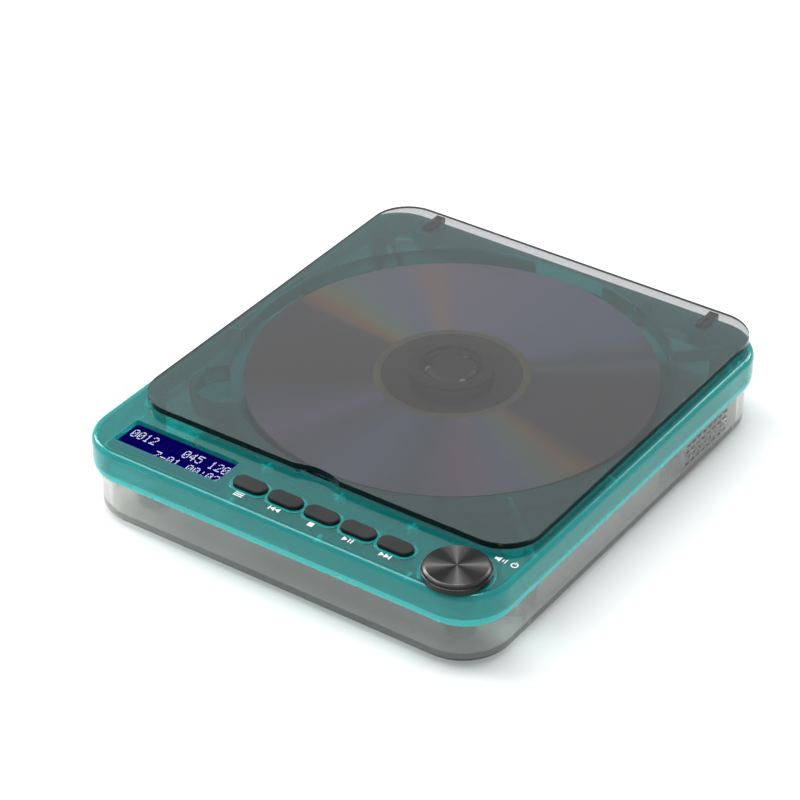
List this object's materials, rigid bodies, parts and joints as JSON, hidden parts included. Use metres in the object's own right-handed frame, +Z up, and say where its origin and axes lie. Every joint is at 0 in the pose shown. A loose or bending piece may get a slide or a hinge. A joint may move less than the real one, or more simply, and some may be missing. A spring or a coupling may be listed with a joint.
{
  "type": "portable cd player",
  "caption": "Slim portable disc player with a clear teal deck, smoked hinged lid, blue display window, oblong keys, a turned volume knob and a clear grey base.",
  "frame": {"origin": "middle of the footprint, on the plane the feet stand on", "axes": "+X to the user's right, +Y to the rear hinge, +Z up out of the lid"},
  "size_m": [0.1372, 0.1554, 0.0277],
  "materials": {
    "teal_plastic": "clear moulded teal, polished",
    "grey_plastic": "clear moulded smoke grey, polished",
    "smoked_acrylic": "polished sheet with dark edges",
    "black_plastic": "moulded black, satin",
    "key_rubber": "soft matt charcoal",
    "turned_metal": "dark anodised, turned face with radial sheen",
    "steel": "ground and polished",
    "brass": "machined",
    "circuit_board": "green solder mask",
    "chip_plastic": "moulded black, matt",
    "display_plastic": "deep blue display face, glossy",
    "white_plastic": "moulded white, satin",
    "foot_rubber": "moulded rubber, matt",
    "bare_metal": "pressed sheet, satin",
    "disc_plastic": "mirror layer under clear plastic, rainbow sheen",
    "lens_glass": "coated lens"
  },
  "bodies": {
    "case": {"base_shell": "grey_plastic", "deck_shell": "teal_plastic", "hinge_pin_left": "steel", "hinge_pin_right": "steel", "key_board": "circuit_board", "volume_control": "bare_metal", "display_glass": "display_plastic", "display_light_box": "white_plastic", "spindle_motor": "bare_metal", "mechanism_chassis": "bare_metal", "guide_rail_left": "steel", "guide_rail_right": "steel", "sled_motor": "steel", "main_board": "circuit_board", "signal_chip": "chip_plastic", "capacitor": "bare_metal", "well_floor": "teal_plastic", "charge_socket": "steel", "audio_jack": "black_plastic", "battery": "bare_metal", "speaker": "black_plastic", "lid_switch": "chip_plastic", "foot_front_left": "foot_rubber", "case_screw_front_left": "steel", "damper_front_left": "foot_rubber", "foot_front_right": "foot_rubber", "case_screw_front_right": "steel", "damper_front_right": "foot_rubber", "foot_rear_left": "foot_rubber", "case_screw_rear_left": "steel", "damper_rear_left": "foot_rubber", "foot_rear_right": "foot_rubber", "case_screw_rear_right": "steel", "damper_rear_right": "foot_rubber", "mode_switch": "chip_plastic", "previous_switch": "chip_plastic", "stop_switch": "chip_plastic", "play_switch": "chip_plastic", "next_switch": "chip_plastic"},
    "lid": {"lid_plate": "smoked_acrylic", "lid_pad_ring": "black_plastic", "hinge_arm_left": "black_plastic", "hinge_arm_right": "black_plastic"},
    "volume": {"volume_knob": "turned_metal", "volume_shaft": "white_plastic"},
    "spindle": {"turntable": "black_plastic", "disc": "disc_plastic"},
    "ball_1": {"hub_ball_1": "steel"},
    "ball_2": {"hub_ball_2": "steel"},
    "ball_3": {"hub_ball_3": "steel"},
    "sled": {"optical_pickup": "black_plastic", "objective_lens": "lens_glass"},
    "screw": {"lead_screw": "steel", "screw_gear": "white_plastic"},
    "pinion": {"motor_pinion": "brass"},
    "mode": {"mode_key": "key_rubber"},
    "previous": {"previous_key": "key_rubber"},
    "stop": {"stop_key": "key_rubber"},
    "play": {"play_key": "key_rubber"},
    "next": {"next_key": "key_rubber"}
  },
  "joints": [
    {"name": "lid_hinge", "type": "hinge", "parent": "case", "child": "lid", "pos_m": [0, 0.0742, 0.0227], "axis": [-1, 0, 0], "range_deg": [0, 85]},
    {"name": "mode_press", "type": "slide", "parent": "case", "child": "mode", "axis": [0, 0, -1], "range_m": [0, 0.0004], "stiffness_N_per_m": 600, "springref_m": -0.0005},
    {"name": "previous_press", "type": "slide", "parent": "case", "child": "previous", "axis": [0, 0, -1], "range_m": [0, 0.0004], "stiffness_N_per_m": 600, "springref_m": -0.0005},
    {"name": "stop_press", "type": "slide", "parent": "case", "child": "stop", "axis": [0, 0, -1], "range_m": [0, 0.0004], "stiffness_N_per_m": 600, "springref_m": -0.0005},
    {"name": "play_press", "type": "slide", "parent": "case", "child": "play", "axis": [0, 0, -1], "range_m": [0, 0.0004], "stiffness_N_per_m": 600, "springref_m": -0.0005},
    {"name": "next_press", "type": "slide", "parent": "case", "child": "next", "axis": [0, 0, -1], "range_m": [0, 0.0004], "stiffness_N_per_m": 600, "springref_m": -0.0005},
    {"name": "volume_turn", "type": "hinge", "parent": "case", "child": "volume", "pos_m": [0.0547, -0.0681, 0.0262], "axis": [0, 0, -1], "range_deg": [0, 300]},
    {"name": "disc_spin", "type": "hinge", "parent": "case", "child": "spindle", "pos_m": [0, 0.0109, 0.021], "axis": [0, 0, 1], "continuous": true},
    {"name": "ball_1_press", "type": "slide", "parent": "spindle", "child": "ball_1", "axis": [0, -1, 0], "range_m": [0, 0.0005], "stiffness_N_per_m": 300, "springref_m": -0.0004},
    {"name": "ball_2_press", "type": "slide", "parent": "spindle", "child": "ball_2", "axis": [0.866, 0.5, 0], "range_m": [0, 0.0005], "stiffness_N_per_m": 300, "springref_m": -0.0004},
    {"name": "ball_3_press", "type": "slide", "parent": "spindle", "child": "ball_3", "axis": [-0.866, 0.5, 0], "range_m": [0, 0.0005], "stiffness_N_per_m": 300, "springref_m": -0.0004},
    {"name": "sled_slide", "type": "slide", "parent": "case", "child": "sled", "axis": [0, -1, 0], "range_m": [0, 0.034]},
    {"name": "screw_turn", "type": "hinge", "parent": "case", "child": "screw", "pos_m": [0.0205, 0.004, 0.0125], "axis": [0, 1, 0], "range_deg": [0, 4081]},
    {"name": "pinion_turn", "type": "hinge", "parent": "case", "child": "pinion", "pos_m": [0.0261, 0.004, 0.0125], "axis": [0, 1, 0], "range_deg": [-12242, 0]}
  ],
  "couplings": [
    {"joint": "screw_turn", "follows": "sled_slide", "rad_per_m": 2094.4},
    {"joint": "pinion_turn", "follows": "sled_slide", "rad_per_m": -6283.2}
  ]
}
